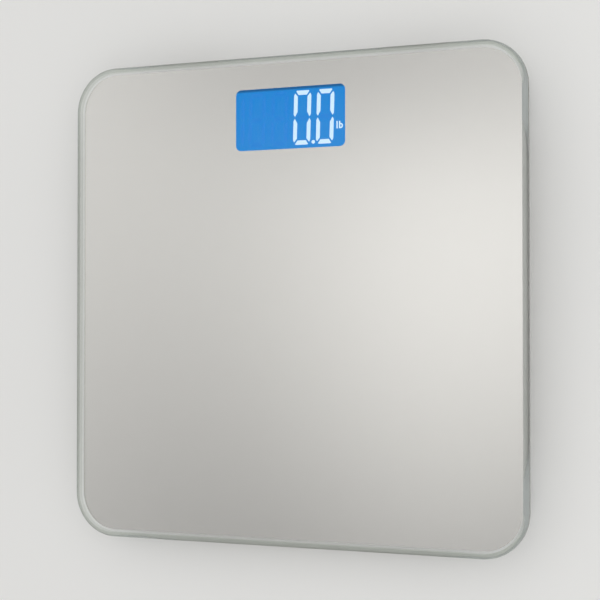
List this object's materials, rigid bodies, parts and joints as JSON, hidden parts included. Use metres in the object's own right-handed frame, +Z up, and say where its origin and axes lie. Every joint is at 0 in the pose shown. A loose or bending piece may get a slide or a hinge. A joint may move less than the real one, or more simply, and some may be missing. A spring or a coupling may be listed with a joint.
{
  "type": "digital bathroom scale",
  "caption": "Square glass bathroom scale with rounded corners, silver underside print, blue backlit digital display, and sprung load-cell feet.",
  "frame": {"origin": "on the floor, under the centre of the platform", "axes": "+Z up, +Y from the platform's centre to the display end, +X to the reader's right"},
  "size_m": [0.3, 0.3, 0.024],
  "materials": {
    "clear_glass": "clear, polished edge",
    "silver_ink": "fine metallic print",
    "foam_tape": "foam",
    "silicone": "soft silicone",
    "grey_abs": "moulded, fine texture",
    "dark_abs": "moulded, satin",
    "black_foam": "matt foam",
    "white_abs": "moulded, satin",
    "polarizer": "tinted film",
    "display_glass": "clear",
    "lit_segments": "glowing",
    "unlit_segments": "dark blue",
    "blue_film": "glowing blue film",
    "white_film": "matt film",
    "blue_acrylic": "clear acrylic",
    "led_epoxy": "lit LED",
    "black_rubber": "matt",
    "green_laminate": "solder mask",
    "chip_epoxy": "moulded epoxy",
    "capacitor_body": "ceramic",
    "chip_ceramic": "ceramic",
    "nylon": "moulded nylon",
    "nickel_steel": "nickel plated",
    "zinc_steel": "zinc plated",
    "cell_can": "printed sleeve, no text",
    "wire_pvc": "insulated wire",
    "pad_rubber": "matt"
  },
  "bodies": {
    "platform": {"glass_platform": "clear_glass", "silver_print": "silver_ink", "mounting_tape": "foam_tape", "foot_pod_toe_left": "grey_abs", "foot_pod_toe_right": "grey_abs", "foot_pod_heel_left": "grey_abs", "foot_pod_heel_right": "grey_abs", "load_cell_toe_left": "zinc_steel", "load_cell_toe_right": "zinc_steel", "load_cell_heel_left": "zinc_steel", "load_cell_heel_right": "zinc_steel", "cell_wires_toe_left": "wire_pvc", "cell_wires_toe_right": "wire_pvc", "cell_wires_heel_left": "wire_pvc", "cell_wires_heel_right": "wire_pvc", "strain_gauges": "silicone", "upper_duct_left": "grey_abs", "upper_duct_right": "grey_abs", "side_duct_left": "grey_abs", "side_duct_right": "grey_abs", "electronics_housing": "grey_abs", "window_gasket": "black_foam", "lcd_frame": "white_abs", "lcd_front_polarizer": "polarizer", "lcd_front_glass": "display_glass", "lcd_segments_lit": "lit_segments", "lcd_segments_unlit": "unlit_segments", "lcd_rear_glass": "display_glass", "lcd_rear_polarizer": "blue_film", "backlight_diffuser": "white_film", "backlight_guide": "blue_acrylic", "backlight_leds": "led_epoxy", "backlight_reflector": "white_film", "rubber_connector": "black_rubber", "circuit_board": "green_laminate", "controller_chip": "chip_epoxy", "amplifier_chip": "chip_epoxy", "crystal": "nickel_steel", "capacitors": "capacitor_body", "resistors": "chip_ceramic", "load_cell_sockets": "nylon", "unit_switch": "nickel_steel", "board_screws": "zinc_steel", "battery_cell_front": "cell_can", "battery_cell_rear": "cell_can", "battery_springs": "nickel_steel", "battery_contacts": "nickel_steel", "battery_leads": "wire_pvc"},
    "foot_toe_left": {"foot_disc_toe_left": "grey_abs", "foot_pad_toe_left": "pad_rubber"},
    "foot_toe_right": {"foot_disc_toe_right": "grey_abs", "foot_pad_toe_right": "pad_rubber"},
    "foot_heel_left": {"foot_disc_heel_left": "grey_abs", "foot_pad_heel_left": "pad_rubber"},
    "foot_heel_right": {"foot_disc_heel_right": "grey_abs", "foot_pad_heel_right": "pad_rubber"},
    "battery_door": {"battery_door": "grey_abs"},
    "unit_button": {"unit_button": "dark_abs"},
    "switch_plunger": {"unit_switch_plunger": "dark_abs"}
  },
  "joints": [
    {"name": "foot_slide_toe_left", "type": "slide", "parent": "platform", "child": "foot_toe_left", "axis": [0, 0, 1], "range_m": [-0.0005, 0.0003], "stiffness_N_per_m": 20000, "springref_m": -0.0002},
    {"name": "foot_slide_toe_right", "type": "slide", "parent": "platform", "child": "foot_toe_right", "axis": [0, 0, 1], "range_m": [-0.0005, 0.0003], "stiffness_N_per_m": 20000, "springref_m": -0.0002},
    {"name": "foot_slide_heel_left", "type": "slide", "parent": "platform", "child": "foot_heel_left", "axis": [0, 0, 1], "range_m": [-0.0005, 0.0003], "stiffness_N_per_m": 20000, "springref_m": -0.0002},
    {"name": "foot_slide_heel_right", "type": "slide", "parent": "platform", "child": "foot_heel_right", "axis": [0, 0, 1], "range_m": [-0.0005, 0.0003], "stiffness_N_per_m": 20000, "springref_m": -0.0002},
    {"name": "battery_door_hinge", "type": "hinge", "parent": "platform", "child": "battery_door", "pos_m": [0, 0.05935, 0.0053], "axis": [-1, 0, 0], "range_deg": [0, 80]},
    {"name": "unit_button_press", "type": "slide", "parent": "platform", "child": "unit_button", "axis": [0, 0, 1], "range_m": [0, 0.0003], "stiffness_N_per_m": 800, "springref_m": -0.0001},
    {"name": "unit_switch_press", "type": "slide", "parent": "platform", "child": "switch_plunger", "axis": [0, 0, 1], "range_m": [0, 0.0003]}
  ],
  "couplings": [
    {"joint": "unit_switch_press", "follows": "unit_button_press", "ratio": 1}
  ]
}
